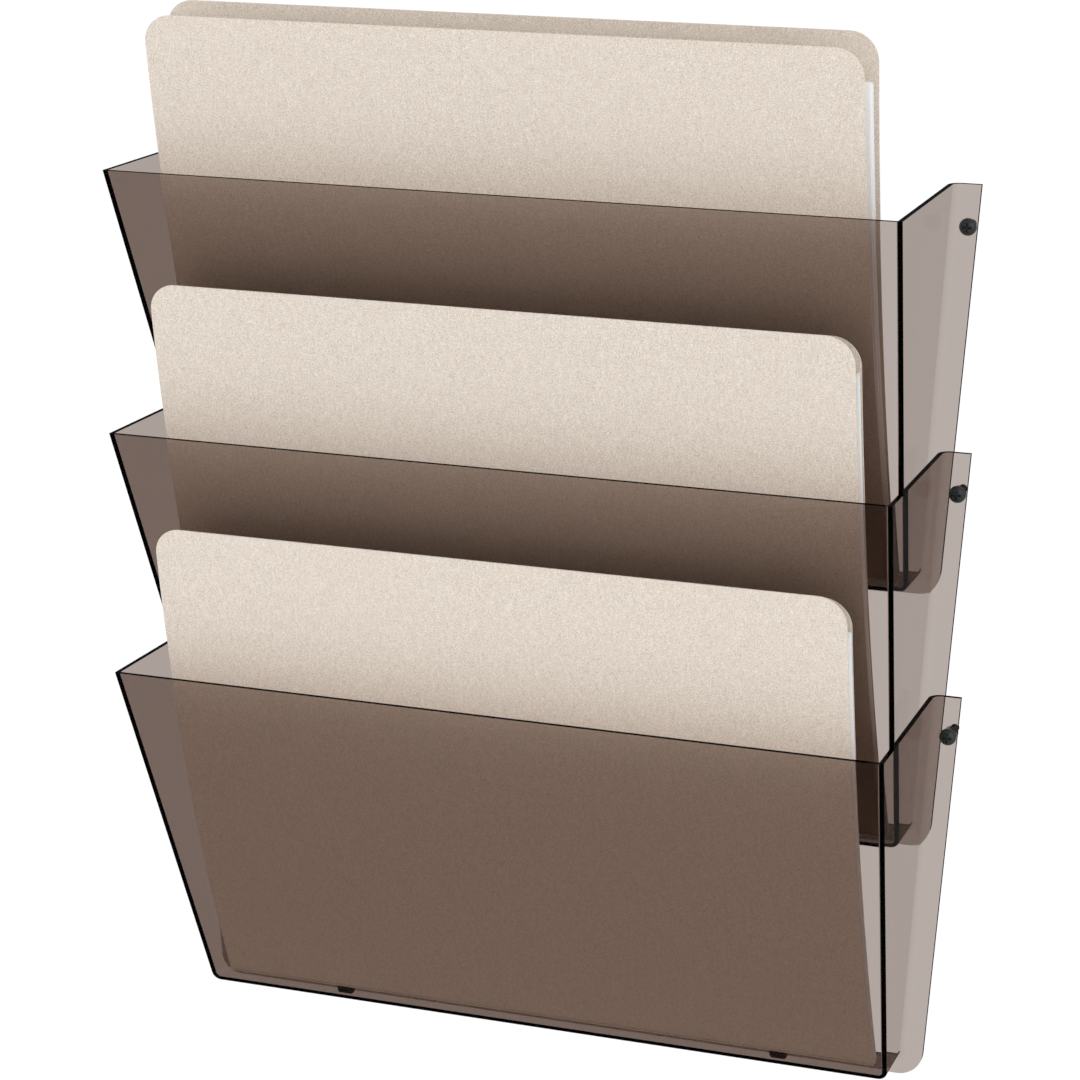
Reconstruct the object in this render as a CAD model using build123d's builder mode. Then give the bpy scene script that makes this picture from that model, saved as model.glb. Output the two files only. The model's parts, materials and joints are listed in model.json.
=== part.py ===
"""Wall-hung set of three smoke-tinted file pockets with manila folders in them.

Frame: X right, -Y out of the wall towards the reader, Z up. The wall is the plane
Y = 0, and the origin is midway between the two upper screws. Lengths are in mm.
"""

import os
from dataclasses import dataclass
from math import cos, degrees, radians, sin, sqrt

from build123d import *

# Pocket moulding. Heights are measured down from the pocket's top edge.
WALL = 2.0
POCKET_HEIGHT = 161.1
MOUTH_DEPTH = 91.2
FLOOR_DEPTH = 28.1
REAR_HALF_WIDTH = 163.1
SIDE_TAPER = 0.059
SIDE_FLARE = 0.0208
FLOOR_RADIUS = 4.0
FRONT_RADIUS = 1.2
FRONT_SLOPE = (MOUTH_DEPTH - FLOOR_DEPTH) / POCKET_HEIGHT
OVERCUT = 20.0

# Flange round the open back, with an apron below the floor.
APRON_DROP = 8.0
FLANGE_HEIGHT = POCKET_HEIGHT + APRON_DROP
FLANGE_TOP_HALF = 174.0
FLANGE_BOTTOM_HALF = 162.2
FLANGE_CORNER_RADIUS = 11.0
BEND_OUTER_RADIUS = 3.0
BEND_INNER_RADIUS = BEND_OUTER_RADIUS + WALL

# Stacking. Each lower flange laps over the foot of the one above.
PITCHES = (108.3, 102.1)
LAP = 2.3

# Wall screws. The shank starts at the wall, where the shoulder ends.
SCREW_X = 169.2
SCREW_DROP = 16.9
SCREW_HOLE_RADIUS = 2.25
SHOULDER_RADIUS = 1.95
SHANK_RADIUS = 1.75
THREAD_ROOT_RADIUS = 1.2
PLAIN_SHANK = 3.5
THREAD_PITCH = 1.0
THREAD_TURNS = 3
POINT_LENGTH = 2.0
HEAD_RADIUS = 3.5
HEAD_RIM = 0.6
HEAD_HEIGHT = 2.8
RECESS_WIDTH = 0.9
RECESS_LENGTH = 3.8
RECESS_DEPTH = 1.2
SPACER_RADIUS = 2.8
SPACER_BORE_RADIUS = 2.1

# Edge clips on the apron.
CLIP_X = 100.5
CLIP_TOP_WIDTH = 8.6
CLIP_FOOT_WIDTH = 7.0
CLIP_RISE = 3.4
CLIP_FOOT = 1.4
CLIP_PAD = 1.4
CLIP_CORNER_RADIUS = 1.2

# Folders and the papers in them. Leans are measured from the vertical, in degrees.
FOLDER_X = -1.4
LEAF_HALF_WIDTH = 147.8
LEAF_LENGTH = 229.3
LEAF_THICKNESS = 0.6
LEAF_CORNER_RADIUS = 11.5
FOOT_LEAN = 23.6
TOP_LEAN = 8.4
BOW_RADIUS = LEAF_LENGTH / radians(FOOT_LEAN - TOP_LEAN)
FLOOR_GAP = 0.3
CREASE_GAP = 0.15
CREASE_Y = -18.9
BASE_Z = WALL + FLOOR_GAP - POCKET_HEIGHT
CREASE_Z = BASE_Z + LEAF_THICKNESS + CREASE_GAP
PAPER_HALF_WIDTH = 146.9
PAPER_LENGTH = 212.0
PAPER_GAP = 0.5
PAPER_FOOT_GAP = 1.0
PAPER_SPREAD = 0.47


@dataclass
class Folder:
    """One folder: its base strip, its opening at the top, and the papers it holds."""

    tier: str
    base: float
    mouth: float
    back_rise: float
    bundle: float

    @property
    def spread(self):
        """Angle between the two leaves, in degrees."""
        return degrees((self.mouth - self.base) / LEAF_LENGTH)


FOLDERS = (
    Folder("top", base=8.0, mouth=21.7, back_rise=1.0, bundle=2.6),
    Folder("middle", base=5.0, mouth=9.0, back_rise=-2.5, bundle=1.3),
    Folder("bottom", base=5.0, mouth=7.0, back_rise=-2.5, bundle=1.3),
)


# ---------------------------------------------------------------- pocket
def front_y(z, inset=0.0):
    """Y of the front panel's outer face at height z, moved in by inset."""
    outer = -FLOOR_DEPTH - FRONT_SLOPE * (z + POCKET_HEIGHT)
    return outer + inset * sqrt(1 + FRONT_SLOPE**2)


def side_plane(side, inset):
    """Outer face of the left (-1) or right (1) wall, moved in by inset."""
    face = Plane(origin=(side * REAR_HALF_WIDTH, 0, 0), z_dir=(side, SIDE_FLARE, -SIDE_TAPER))
    return face.offset(-inset)


def tapered_box(inset, over, floor_radius, front_radius):
    """The pocket's wedge, moved in by inset and carried past its open top and back by over."""
    floor_z = inset - POCKET_HEIGHT
    with BuildPart() as wedge:
        with BuildSketch(Plane.YZ):
            with BuildLine():
                Polyline(
                    (over, over),
                    (front_y(over, inset), over),
                    (front_y(floor_z, inset), floor_z),
                    (over, floor_z),
                    close=True,
                )
            make_face()
        extrude(amount=REAR_HALF_WIDTH + OVERCUT, both=True)
        for side in (-1, 1):
            split(bisect_by=side_plane(side, inset), keep=Keep.BOTTOM)
        floor = wedge.faces().sort_by(Axis.Z)[0]
        fillet(floor.edges().filter_by(Axis.X, reverse=True), radius=floor_radius)
        front = wedge.faces().sort_by(Axis.Y)[0]
        fillet(front.edges().sort_by(Axis.Z)[:-1], radius=front_radius)
    return wedge.part


def flange_sketch():
    """Back flange outline, rounded at its two lower corners."""
    with BuildSketch(Plane.XZ) as outline:
        with BuildLine():
            Polyline(
                (-FLANGE_TOP_HALF, 0),
                (FLANGE_TOP_HALF, 0),
                (FLANGE_BOTTOM_HALF, -FLANGE_HEIGHT),
                (-FLANGE_BOTTOM_HALF, -FLANGE_HEIGHT),
                close=True,
            )
        make_face()
        fillet(outline.vertices().sort_by(Axis.Y)[:2], radius=FLANGE_CORNER_RADIUS)
    return outline.sketch


def bend_to_flange(box, plate, thickness, radius):
    """Join a tapered box to the plate round its back, with its walls curving into the plate."""
    with BuildPart() as bent:
        add(box)
        extrude(plate, amount=thickness)
        face_y = -max(thickness, 0)
        bends = bent.edges().filter_by_position(Axis.Y, face_y - 0.01, face_y + 0.01)
        bends = bends.filter_by_position(Axis.X, -REAR_HALF_WIDTH, REAR_HALF_WIDTH)
        fillet(bends.filter_by_position(Axis.Z, -POCKET_HEIGHT - 1, -1), radius=radius)
    return bent.part


def backing_sketch():
    """A plate behind the wall plane that reaches well past the flange."""
    with BuildSketch(Plane.XZ) as backing:
        with Locations((0, -POCKET_HEIGHT / 2)):
            Rectangle(2 * (FLANGE_TOP_HALF + OVERCUT), POCKET_HEIGHT + 2 * OVERCUT)
    return backing.sketch


def make_pocket():
    """One moulded pocket, with its top edge at Z = 0 and its back on the wall."""
    box = tapered_box(0, 0, FLOOR_RADIUS, FRONT_RADIUS)
    hollow = tapered_box(WALL, OVERCUT, FLOOR_RADIUS - WALL, FRONT_RADIUS / 3)
    body = bend_to_flange(box, flange_sketch(), WALL, BEND_OUTER_RADIUS)
    cavity = bend_to_flange(hollow, backing_sketch(), -OVERCUT, BEND_INNER_RADIUS)
    with BuildPart() as pocket:
        add(body)
        add(cavity, mode=Mode.SUBTRACT)
        with Locations(Plane.XZ.offset(WALL)):
            with Locations((-SCREW_X, -SCREW_DROP), (SCREW_X, -SCREW_DROP)):
                Hole(radius=SCREW_HOLE_RADIUS, depth=WALL)
    return pocket.part


# ---------------------------------------------------------------- fasteners
def make_screw(shoulder):
    """Domed cross-recess wall screw. Its head sits on Y = 0 and its shoulder ends at the wall."""
    thread_start = shoulder + PLAIN_SHANK
    thread_end = thread_start + THREAD_PITCH * THREAD_TURNS
    with BuildPart() as screw:
        with BuildSketch(Plane.XY):
            with BuildLine():
                Polyline(
                    (0, -HEAD_HEIGHT),
                    (0, thread_end + POINT_LENGTH),
                    (THREAD_ROOT_RADIUS, thread_end),
                )
                for turn in range(THREAD_TURNS):
                    root = thread_end - turn * THREAD_PITCH
                    Polyline(
                        (THREAD_ROOT_RADIUS, root),
                        (SHANK_RADIUS, root - THREAD_PITCH / 2),
                        (THREAD_ROOT_RADIUS, root - THREAD_PITCH),
                    )
                Polyline(
                    (THREAD_ROOT_RADIUS, thread_start),
                    (SHANK_RADIUS, thread_start - THREAD_PITCH / 2),
                    (SHANK_RADIUS, shoulder),
                    (SHOULDER_RADIUS, shoulder),
                    (SHOULDER_RADIUS, 0),
                    (HEAD_RADIUS, 0),
                    (HEAD_RADIUS, -HEAD_RIM),
                )
                EllipticalCenterArc(
                    center=(0, -HEAD_RIM),
                    x_radius=HEAD_RADIUS,
                    y_radius=HEAD_HEIGHT - HEAD_RIM,
                    start_angle=270,
                    arc_size=90,
                )
            make_face()
        revolve(axis=Axis.Y)
        with BuildSketch(Plane.XZ.offset(HEAD_HEIGHT)):
            Rectangle(RECESS_LENGTH, RECESS_WIDTH)
            Rectangle(RECESS_WIDTH, RECESS_LENGTH)
        extrude(amount=-RECESS_DEPTH, mode=Mode.SUBTRACT)
    return screw.part


def make_spacer(length):
    """Ring that carries a flange at its screw, standing length off the wall."""
    with BuildPart() as ring:
        with BuildSketch(Plane.XZ):
            Circle(SPACER_RADIUS)
            Circle(SPACER_BORE_RADIUS, mode=Mode.SUBTRACT)
        extrude(amount=length)
    return ring.part


def make_clip():
    """Edge clip: a pad on the apron's face and a foot hooked under the apron's edge at Z = 0."""
    with BuildPart() as clip:
        with BuildSketch(Plane.XZ) as face:
            with BuildLine():
                Polyline(
                    (-CLIP_TOP_WIDTH / 2, CLIP_RISE),
                    (CLIP_TOP_WIDTH / 2, CLIP_RISE),
                    (CLIP_FOOT_WIDTH / 2, -CLIP_FOOT),
                    (-CLIP_FOOT_WIDTH / 2, -CLIP_FOOT),
                    close=True,
                )
            make_face()
            fillet(face.vertices().sort_by(Axis.Y)[:2], radius=CLIP_CORNER_RADIUS)
        extrude(amount=WALL + CLIP_PAD)
        with BuildSketch(Plane.XZ):
            Rectangle(CLIP_TOP_WIDTH * 2, CLIP_RISE, align=(Align.CENTER, Align.MIN))
        extrude(amount=WALL, mode=Mode.SUBTRACT)
    return clip.part


# ---------------------------------------------------------------- folders and papers
def card_profile(foot, length, lean, thickness):
    """Side view of a bowed card. Its rear face starts at foot and straightens up along an arc."""
    tilt = radians(lean)
    centre = (foot[0] + BOW_RADIUS * cos(tilt), foot[1] + BOW_RADIUS * sin(tilt))
    bow = -degrees(length / BOW_RADIUS)
    with BuildSketch(Plane.YZ) as profile:
        with BuildLine():
            rear = CenterArc(centre, BOW_RADIUS, 180 + lean, bow)
            front = CenterArc(centre, BOW_RADIUS + thickness, 180 + lean, bow)
            Line(rear @ 0, front @ 0)
            Line(rear @ 1, front @ 1)
        make_face()
    return profile.sketch


def make_card(foot, length, lean_back, thickness, half_width, corner_radius=0):
    """A bowed sheet or bundle, leaning lean_back degrees less than the folder's front leaf."""
    profile = card_profile(foot, length, FOOT_LEAN - lean_back, thickness)
    with BuildPart() as card:
        extrude(profile, amount=half_width, both=True)
        if corner_radius:
            ends = card.edges().filter_by(GeomType.LINE).filter_by(Axis.X, reverse=True)
            fillet(ends.sort_by(Axis.Z)[-2:], radius=corner_radius)
    return card.part


def make_front_leaf():
    """Front leaf of a folder. It hinges forward about the front of its foot."""
    lean = radians(FOOT_LEAN)
    return make_card(
        (CREASE_Y + LEAF_THICKNESS * cos(lean), CREASE_Z + LEAF_THICKNESS * sin(lean)),
        LEAF_LENGTH,
        0,
        LEAF_THICKNESS,
        LEAF_HALF_WIDTH,
        LEAF_CORNER_RADIUS,
    )


def make_back_leaf(folder):
    """Back leaf of a folder, with the scored strip that forms the folder's base."""
    rear = CREASE_Y + LEAF_THICKNESS + folder.base
    leaf = make_card(
        (rear, BASE_Z + LEAF_THICKNESS / 2),
        LEAF_LENGTH + folder.back_rise,
        folder.spread,
        LEAF_THICKNESS,
        LEAF_HALF_WIDTH,
        LEAF_CORNER_RADIUS,
    )
    with BuildPart() as back:
        add(leaf)
        with BuildSketch(Plane.YZ):
            with BuildLine():
                Polyline(
                    (CREASE_Y, BASE_Z),
                    (rear, BASE_Z),
                    (rear, BASE_Z + LEAF_THICKNESS),
                    (CREASE_Y, BASE_Z + LEAF_THICKNESS),
                    close=True,
                )
            make_face()
        extrude(amount=LEAF_HALF_WIDTH, both=True)
    return back.part


def make_papers(folder, place):
    """A bundle of papers, place 1 next to the front leaf and place 2 behind it."""
    rear = CREASE_Y + LEAF_THICKNESS + place * (PAPER_GAP + folder.bundle)
    foot_z = BASE_Z + LEAF_THICKNESS + PAPER_FOOT_GAP
    return make_card(
        (rear, foot_z),
        PAPER_LENGTH,
        folder.spread * PAPER_SPREAD,
        folder.bundle,
        PAPER_HALF_WIDTH,
    )


# ---------------------------------------------------------------- assembly
def save(shape, name, x, y, z):
    """Place a piece and write it as one named part."""
    with BuildPart() as piece:
        with Locations((x, y, z)):
            add(shape)
    piece.part.label = name
    export_step(piece.part, f"parts/{name}.step")


os.makedirs("parts", exist_ok=True)
pocket_shape = make_pocket()
clip_shape = make_clip()
front_leaf_shape = make_front_leaf()

for level, folder in enumerate(FOLDERS):
    tier = folder.tier
    back_y = -LAP * level
    top_z = SCREW_DROP - sum(PITCHES[:level])
    screw_z = top_z - SCREW_DROP
    screw_shape = make_screw(WALL - back_y)
    save(pocket_shape, f"{tier}_pocket", 0, back_y, top_z)
    for side, hand in ((-1, "left"), (1, "right")):
        save(screw_shape, f"{tier}_screw_{hand}", side * SCREW_X, back_y - WALL, screw_z)
        save(clip_shape, f"{tier}_clip_{hand}", side * CLIP_X, back_y, top_z - FLANGE_HEIGHT)
        if level:
            save(make_spacer(-back_y), f"{tier}_spacer_{hand}", side * SCREW_X, 0, screw_z)
    save(front_leaf_shape, f"{tier}_folder_front", FOLDER_X, back_y, top_z)
    save(make_back_leaf(folder), f"{tier}_folder_back", FOLDER_X, back_y, top_z)
    save(make_papers(folder, 1), f"{tier}_papers_front", FOLDER_X, back_y, top_z)
    save(make_papers(folder, 2), f"{tier}_papers_rear", FOLDER_X, back_y, top_z)
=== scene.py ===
"""Looks for the wall file pocket set: smoke plastic, manila folders, papers and fasteners."""

import json
import math
import random

import bmesh
import bpy
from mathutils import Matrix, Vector


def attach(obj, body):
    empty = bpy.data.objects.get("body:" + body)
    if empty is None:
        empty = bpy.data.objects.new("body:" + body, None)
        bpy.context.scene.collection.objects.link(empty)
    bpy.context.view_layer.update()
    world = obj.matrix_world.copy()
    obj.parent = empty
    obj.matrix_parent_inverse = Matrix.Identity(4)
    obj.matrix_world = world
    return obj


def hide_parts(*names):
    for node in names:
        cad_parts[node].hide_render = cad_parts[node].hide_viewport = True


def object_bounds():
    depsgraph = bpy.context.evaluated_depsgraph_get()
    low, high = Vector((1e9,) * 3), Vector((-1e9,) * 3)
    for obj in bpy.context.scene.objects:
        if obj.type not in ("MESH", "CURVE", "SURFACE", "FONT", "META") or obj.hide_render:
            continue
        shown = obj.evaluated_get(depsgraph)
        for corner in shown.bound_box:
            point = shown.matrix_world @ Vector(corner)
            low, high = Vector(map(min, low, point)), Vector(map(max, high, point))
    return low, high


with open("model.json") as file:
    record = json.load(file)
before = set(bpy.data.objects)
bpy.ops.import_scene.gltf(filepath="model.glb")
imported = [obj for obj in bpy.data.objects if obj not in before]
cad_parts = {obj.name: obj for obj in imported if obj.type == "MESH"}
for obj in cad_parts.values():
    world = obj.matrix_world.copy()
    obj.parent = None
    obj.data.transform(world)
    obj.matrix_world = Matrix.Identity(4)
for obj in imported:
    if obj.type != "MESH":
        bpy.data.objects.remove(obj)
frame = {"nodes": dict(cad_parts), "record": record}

MM = 0.001
TIERS = ("top", "middle", "bottom")
cad_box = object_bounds()

# Camera: a point in front of the wall, the direction it looks in (radians), its lens and
# sensor width (mm), and how far it sees (m).
CAMERA_PLACE = Vector((471.1, -1302.4, 246.0)) * MM
CAMERA_TILT = 1.295519
CAMERA_TURN = 0.354622
CAMERA_LENS = 113.66
CAMERA_SENSOR = 36.0
CAMERA_REACH = 200

# Stage. Lengths are in metres, angles in degrees, and shares are of the surround's white.
FLOOR_DROP = 1.2
FLOOR_SIZE = 60.0
WHITE = 1.02
MIRRORED_SHARE = 0.3
FILL_SHARE = 0.93
FILL_THROUGH_SHARE = 1.1
KEY_STRENGTH = 0.5
KEY_SPREAD = 40.0
KEY_TILT = 70.0
KEY_TURN = 40.0
LIGHT_BOUNCES = 24
MIRROR_BOUNCES = 6

# Smoke plastic. Absorption is a coefficient per millimetre for red, green and blue.
SMOKE_IOR = 1.57
SMOKE_SHINE = 0.1
SMOKE_ABSORPTION = (0.372, 0.437, 0.472)

# Sheets in each bundle of papers, and how untidily they stand.
SHEETS = {"top": 12, "middle": 6, "bottom": 6}
SHEET_THICKNESS = 0.14 * MM
SHEET_SLIP = 0.7 * MM
SHEET_SHIFT = 0.5 * MM
SHEET_STEPS = 24


# ---------------------------------------------------------------- node helpers
class Nodes:
    """The node tree of a material or world, with short ways to add and link nodes."""

    def __init__(self, owner, output="ShaderNodeOutputMaterial"):
        self.owner = owner
        owner.use_nodes = True
        self.tree = owner.node_tree
        self.tree.nodes.clear()
        self.output = self.tree.nodes.new(output)

    def add(self, kind, **settings):
        """Add a node. Each setting is a property of the node."""
        node = self.tree.nodes.new(kind)
        for key, value in settings.items():
            setattr(node, key, value)
        return node

    def put(self, node, name, value):
        """Set an input to a value, or link it to a socket."""
        socket = node.inputs[name]
        if isinstance(value, bpy.types.NodeSocket):
            self.tree.links.new(value, socket)
        else:
            socket.default_value = value

    def position(self):
        """Object coordinates, which are metres in the CAD frame."""
        return self.add("ShaderNodeTexCoord").outputs["Object"]

    def scaled(self, scale):
        """Object coordinates times a scale of three numbers."""
        mapping = self.add("ShaderNodeMapping")
        self.put(mapping, "Vector", self.position())
        self.put(mapping, "Scale", scale)
        return mapping.outputs["Vector"]

    def noise(self, scale, detail=2.0, roughness=0.5, stretch=(1, 1, 1)):
        """Noise between 0 and 1, with scale in cells per metre."""
        node = self.add("ShaderNodeTexNoise")
        self.put(node, "Vector", self.scaled(stretch))
        self.put(node, "Scale", scale)
        self.put(node, "Detail", detail)
        self.put(node, "Roughness", roughness)
        return node.outputs["Fac"]

    def remap(self, value, low, high, to_low, to_high):
        """Map a value's range linearly to another, held at both ends."""
        node = self.add("ShaderNodeMapRange")
        self.put(node, "Value", value)
        self.put(node, "From Min", low)
        self.put(node, "From Max", high)
        self.put(node, "To Min", to_low)
        self.put(node, "To Max", to_high)
        return node.outputs["Result"]

    def maths(self, operation, a, b):
        """Combine two numbers."""
        node = self.add("ShaderNodeMath", operation=operation)
        self.put(node, 0, a)
        self.put(node, 1, b)
        return node.outputs["Value"]

    def mix(self, share, a, b):
        """Blend two colours."""
        node = self.add("ShaderNodeMix", data_type="RGBA")
        # The node has sockets for every type. Inputs 6 and 7 and output 2 are the ones for colours.
        self.put(node, 0, share)
        self.put(node, 6, a)
        self.put(node, 7, b)
        return node.outputs[2]

    def bump(self, height, distance, strength=1.0):
        """A normal tilted by a height map that is distance deep."""
        node = self.add("ShaderNodeBump")
        self.put(node, "Height", height)
        self.put(node, "Distance", distance)
        self.put(node, "Strength", strength)
        return node.outputs["Normal"]

    def surround(self):
        """How bright the surround is.

        It is white as seen, and dimmer where a polished face mirrors it. As a fill light it is
        a little dimmer too, except through the smoke plastic, where it makes up for the tint.
        """
        path = self.add("ShaderNodeLightPath")
        polished = self.maths("SUBTRACT", 1.0, path.outputs["Is Diffuse Ray"])
        mirrored = self.maths("MULTIPLY", path.outputs["Is Reflection Ray"], polished)
        in_mirror = self.remap(mirrored, 0.0, 1.0, WHITE, WHITE * MIRRORED_SHARE)
        crossed = path.outputs["Transmission Depth"]
        share = self.remap(crossed, 0.0, 1.0, FILL_SHARE, FILL_THROUGH_SHARE)
        as_fill = self.remap(path.outputs["Diffuse Depth"], 0.0, 1.0, 1.0, share)
        return self.maths("MULTIPLY", in_mirror, as_fill)

    def glow(self, strength):
        """A surface or world that shines white."""
        is_world = isinstance(self.owner, bpy.types.World)
        shader = self.add("ShaderNodeBackground" if is_world else "ShaderNodeEmission")
        self.put(shader, "Color", rgb(1, 1, 1))
        self.put(shader, "Strength", strength)
        self.put(self.output, "Surface", shader.outputs[0])

    def principled(self, **inputs):
        """The Principled shader. An input's name has _ for each space."""
        shader = self.add("ShaderNodeBsdfPrincipled")
        for name, value in inputs.items():
            self.put(shader, name.replace("_", " "), value)
        self.put(self.output, "Surface", shader.outputs["BSDF"])


def rgb(red, green, blue):
    """A solid colour."""
    return (red, green, blue, 1.0)


# ---------------------------------------------------------------- materials
def smoke_plastic():
    """Clear polystyrene tinted brown-grey, which darkens with the length of plastic seen through.

    It bends and traps light in full, but its outer faces mirror only a share of what bare
    polystyrene would.
    """
    nodes = Nodes(bpy.data.materials.new("smoke_plastic"))
    polish = nodes.noise(900, detail=3, stretch=(1, 1, 0.15))
    haze = nodes.remap(polish, 0.35, 0.75, 0.0, 0.03)
    bent = nodes.add("ShaderNodeBsdfRefraction")
    nodes.put(bent, "Color", rgb(1, 1, 1))
    nodes.put(bent, "Roughness", haze)
    nodes.put(bent, "IOR", SMOKE_IOR)
    shine = nodes.add("ShaderNodeBsdfAnisotropic")
    nodes.put(shine, "Color", rgb(1, 1, 1))
    nodes.put(shine, "Roughness", haze)
    fresnel = nodes.add("ShaderNodeFresnel")
    nodes.put(fresnel, "IOR", SMOKE_IOR)
    outside = nodes.maths("MULTIPLY", fresnel.outputs["Fac"], SMOKE_SHINE)
    # Inside the plastic, past the critical angle, the factor is 1 and the light is trapped.
    trapped = nodes.remap(fresnel.outputs["Fac"], 0.95, 1.0, 0.0, 1.0)
    # The mixer's two shader inputs share one name, so its inputs are set by number.
    both = nodes.add("ShaderNodeMixShader")
    nodes.put(both, 0, nodes.maths("MAXIMUM", outside, trapped))
    nodes.put(both, 1, bent.outputs["BSDF"])
    nodes.put(both, 2, shine.outputs["BSDF"])
    nodes.put(nodes.output, "Surface", both.outputs["Shader"])
    inside = nodes.add("ShaderNodeVolumeAbsorption")
    most = max(SMOKE_ABSORPTION)
    nodes.put(inside, "Color", rgb(*(1 - value / most for value in SMOKE_ABSORPTION)))
    nodes.put(inside, "Density", most / MM)
    nodes.put(nodes.output, "Volume", inside.outputs["Volume"])
    return nodes.owner


def manila():
    """Uncoated manila card: fine fibre speckle, faint clouding and a soft tooth."""
    nodes = Nodes(bpy.data.materials.new("manila"))
    speckle = nodes.noise(2500, detail=2, roughness=0.8)
    fibre = nodes.noise(700, detail=4, roughness=0.6, stretch=(1, 1, 0.35))
    cloud = nodes.noise(14, detail=3)
    grain = nodes.maths(
        "ADD",
        nodes.maths("MULTIPLY", speckle, 0.85),
        nodes.maths("MULTIPLY", fibre, 0.15),
    )
    shade = nodes.remap(grain, 0.39, 0.61, 0.0, 1.0)
    colour = nodes.mix(shade, rgb(0.58, 0.502, 0.427), rgb(0.92, 0.837, 0.743))
    warm = nodes.mix(nodes.remap(cloud, 0.35, 0.65, 0.0, 0.15), colour, rgb(0.745, 0.665, 0.575))
    nodes.principled(
        Base_Color=warm,
        Roughness=nodes.remap(fibre, 0.3, 0.7, 0.78, 0.92),
        Specular_IOR_Level=0.25,
        Normal=nodes.bump(grain, 0.2 * MM, 0.8),
    )
    return nodes.owner


def paper():
    """Bright office paper with faint mottling."""
    nodes = Nodes(bpy.data.materials.new("paper"))
    mottle = nodes.noise(1200, detail=3)
    shade = nodes.remap(mottle, 0.3, 0.7, 0, 1)
    colour = nodes.mix(shade, rgb(0.93, 0.94, 0.95), rgb(0.985, 0.985, 0.98))
    nodes.principled(
        Base_Color=colour,
        Roughness=nodes.remap(mottle, 0.3, 0.7, 0.7, 0.85),
        Specular_IOR_Level=0.3,
        Normal=nodes.bump(mottle, 0.02 * MM, 0.4),
    )
    return nodes.owner


def black_steel():
    """Black-oxide steel, a little brighter where the finish has rubbed."""
    nodes = Nodes(bpy.data.materials.new("black_steel"))
    wear = nodes.noise(2500, detail=4, roughness=0.65)
    rubbed = nodes.remap(wear, 0.4, 0.7, 0, 1)
    colour = nodes.mix(rubbed, rgb(0.022, 0.027, 0.027), rgb(0.065, 0.075, 0.074))
    nodes.principled(
        Base_Color=colour,
        Metallic=0.25,
        Roughness=nodes.remap(wear, 0.3, 0.7, 0.3, 0.48),
        Normal=nodes.bump(wear, 0.03 * MM, 0.4),
    )
    return nodes.owner


def black_rubber():
    """Matt black rubber with a fine moulded grain."""
    nodes = Nodes(bpy.data.materials.new("black_rubber"))
    grain = nodes.noise(3000, detail=2)
    colour = nodes.mix(grain, rgb(0.008, 0.008, 0.008), rgb(0.03, 0.03, 0.03))
    nodes.principled(
        Base_Color=colour,
        Roughness=nodes.remap(grain, 0.3, 0.7, 0.55, 0.75),
        Normal=nodes.bump(grain, 0.05 * MM, 0.5),
    )
    return nodes.owner


MATERIALS = {
    "smoke_plastic": smoke_plastic(),
    "manila": manila(),
    "paper": paper(),
    "black_steel": black_steel(),
    "black_rubber": black_rubber(),
}


def paint_nodes():
    """Give each CAD node the material of its slot in the record."""
    for part in frame["record"]["subparts"]:
        node = frame["nodes"][part["node"]]
        node.data.materials.clear()
        node.data.materials.append(MATERIALS[part["material_slot"]])


# ---------------------------------------------------------------- papers
def side_corners(node):
    """A bundle's foot and top as seen from the side, each as its rear and its front corner."""
    points = sorted({(round(v.co.z, 6), round(v.co.y, 6)) for v in node.data.vertices})
    corners = []
    for pair in (points[:2], points[-2:]):
        (front_y, front_z), (rear_y, rear_z) = sorted((y, z) for z, y in pair)
        corners.append((Vector((0, rear_y, rear_z)), Vector((0, front_y, front_z))))
    return corners


def outward(foot, top):
    """Direction square to the line from foot to top, towards the reader."""
    rise = (top - foot).normalized()
    return Vector((0, -rise.z, rise.y))


def bow_depth(node, foot, top):
    """How far a bundle's front face bows out past the straight line from foot to top."""
    out = outward(foot, top)
    return max((v.co - foot).dot(out) for v in node.data.vertices)


def sheet_outline(foot, top, bow):
    """Side view of one sheet, as its rear and its front points from foot to top.

    The sheet follows a parabola, which is bow deep at its middle.
    """
    out = outward(foot, top)
    rear, front = [], []
    for step in range(SHEET_STEPS + 1):
        share = step / SHEET_STEPS
        depth = 4 * bow * share * (1 - share)
        middle = foot.lerp(top, share) + out * depth
        rear.append(middle - out * (SHEET_THICKNESS / 2))
        front.append(middle + out * (SHEET_THICKNESS / 2))
    return rear, front


def add_sheet(shape, outline, left, right):
    """Add a sheet to the mesh: its faces, its two side edges, and its foot and top edges."""
    rows = []
    for x in (left, right):
        rows.append([[shape.verts.new((x, p.y, p.z)) for p in face] for face in outline])
    (left_rear, left_front), (right_rear, right_front) = rows
    last = SHEET_STEPS
    for i in range(last):
        shape.faces.new((left_rear[i], left_rear[i + 1], right_rear[i + 1], right_rear[i]))
        shape.faces.new((left_front[i + 1], left_front[i], right_front[i], right_front[i + 1]))
        shape.faces.new((left_front[i], left_front[i + 1], left_rear[i + 1], left_rear[i]))
        shape.faces.new((right_rear[i], right_rear[i + 1], right_front[i + 1], right_front[i]))
    shape.faces.new((left_rear[0], right_rear[0], right_front[0], left_front[0]))
    shape.faces.new((left_front[last], right_front[last], right_rear[last], left_rear[last]))


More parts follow.
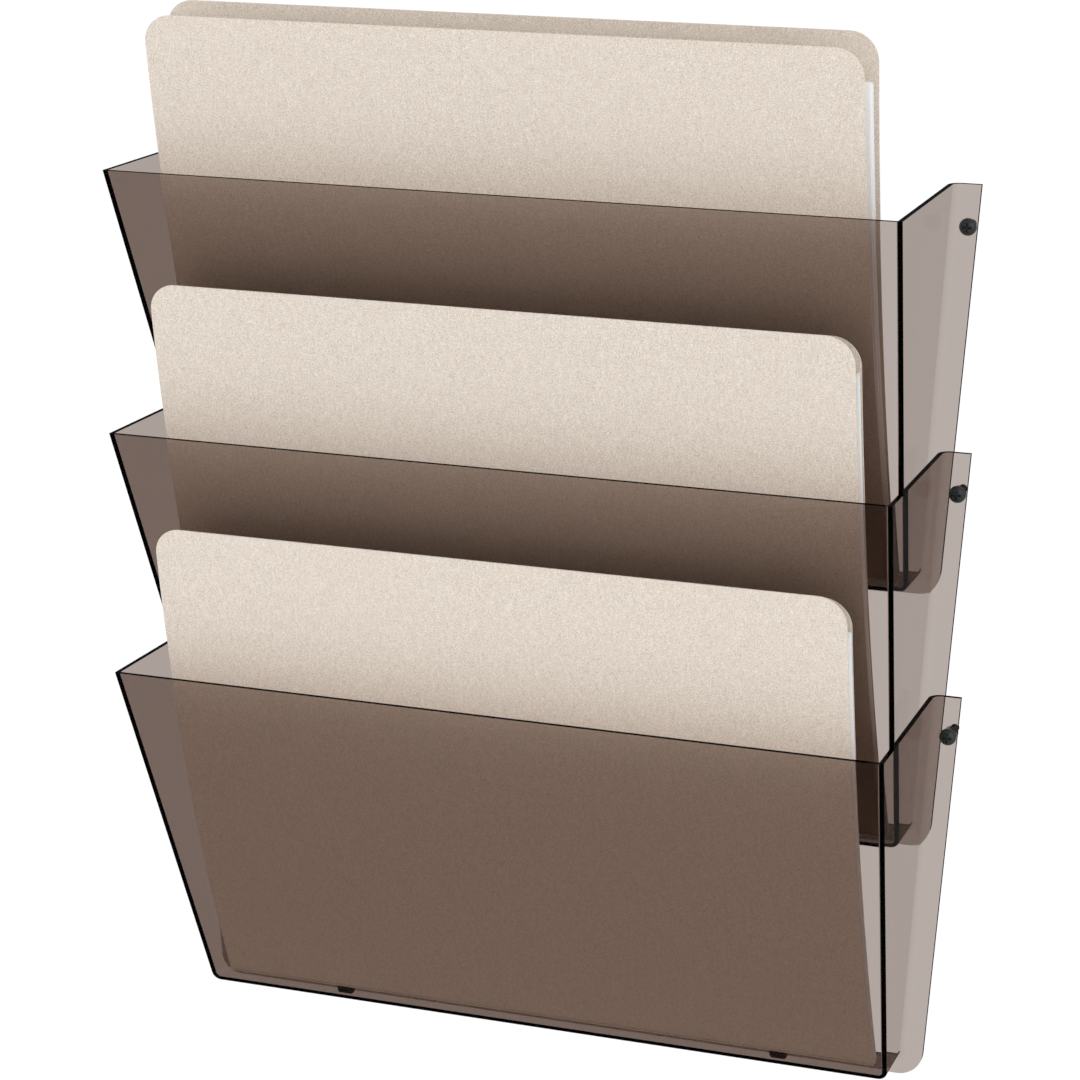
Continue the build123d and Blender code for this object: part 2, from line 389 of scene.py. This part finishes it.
def add_papers(tier, place):
    """Loose sheets in place of one of the CAD's solid bundles."""
    node = frame["nodes"][f"{tier}_papers_{place}"]
    slips = random.Random(f"{tier} {place}")
    (foot_rear, foot_front), (top_rear, top_front) = side_corners(node)
    bow = bow_depth(node, foot_front, top_front)
    left = min(v.co.x for v in node.data.vertices)
    right = max(v.co.x for v in node.data.vertices)
    shape = bmesh.new()
    for index in range(SHEETS[tier]):
        depth = (index + 0.5) / SHEETS[tier]
        sideways = SHEET_SHIFT + slips.uniform(-1, 1) * SHEET_SLIP
        up = Vector((0, 0, slips.uniform(-1, 1) * SHEET_SLIP))
        sheet_foot = foot_rear.lerp(foot_front, depth) + up
        sheet_top = top_rear.lerp(top_front, depth) + up
        outline = sheet_outline(sheet_foot, sheet_top, bow)
        add_sheet(shape, outline, left + sideways, right + sideways)
    mesh = bpy.data.meshes.new(f"{tier}_{place}_sheets")
    shape.to_mesh(mesh)
    shape.free()
    mesh.materials.append(MATERIALS["paper"])
    sheets = bpy.data.objects.new(mesh.name, mesh)
    bpy.context.collection.objects.link(sheets)
    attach(sheets, f"{tier}_folder")
    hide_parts(node.name)


# ---------------------------------------------------------------- stage
def add_floor():
    """A plain pale floor, well below the set as it hangs."""
    mesh = bpy.data.meshes.new("floor")
    shape = bmesh.new()
    bmesh.ops.create_grid(shape, x_segments=1, y_segments=1, size=FLOOR_SIZE / 2)
    shape.to_mesh(mesh)
    shape.free()
    floor = bpy.data.objects.new("floor", mesh)
    floor.location.z = cad_box[0][2] - FLOOR_DROP
    bpy.context.collection.objects.link(floor)
    nodes = Nodes(bpy.data.materials.new("floor"))
    nodes.glow(nodes.surround())
    mesh.materials.append(nodes.owner)


def add_light():
    """An even white surround and one soft key light from the reader's side."""
    nodes = Nodes(bpy.data.worlds.new("studio"), "ShaderNodeOutputWorld")
    bpy.context.scene.world = nodes.owner
    nodes.glow(nodes.surround())
    # The surround's brightness depends on the ray that finds it, so it isn't sampled directly.
    nodes.owner.cycles.sampling_method = "NONE"
    lamp = bpy.data.lights.new("key", "SUN")
    lamp.energy = KEY_STRENGTH
    lamp.angle = math.radians(KEY_SPREAD)
    key = bpy.data.objects.new("key", lamp)
    key.rotation_euler = (math.radians(KEY_TILT), 0, math.radians(KEY_TURN))
    bpy.context.collection.objects.link(key)


def add_camera():
    """A long lens to the right of the set, a little above it."""
    data = bpy.data.cameras.new("camera")
    data.sensor_width = CAMERA_SENSOR
    data.lens = CAMERA_LENS
    data.clip_end = CAMERA_REACH
    camera = bpy.data.objects.new("camera", data)
    camera.location = CAMERA_PLACE
    camera.rotation_euler = (CAMERA_TILT, 0, CAMERA_TURN)
    bpy.context.collection.objects.link(camera)
    bpy.context.scene.camera = camera


def set_look():
    """Plain colours, and enough bounces to see through every layer of plastic.

    Glossy light isn't blurred, because that would dim what is seen through the plastic.
    """
    scene = bpy.context.scene
    scene.view_settings.view_transform = "Standard"
    scene.cycles.max_bounces = LIGHT_BOUNCES
    scene.cycles.transmission_bounces = LIGHT_BOUNCES
    scene.cycles.transparent_max_bounces = LIGHT_BOUNCES
    scene.cycles.glossy_bounces = MIRROR_BOUNCES
    scene.cycles.blur_glossy = 0.0


# ---------------------------------------------------------------- scene
paint_nodes()
for tier in TIERS:
    for place in ("front", "rear"):
        add_papers(tier, place)
add_floor()
add_light()
add_camera()
set_look()
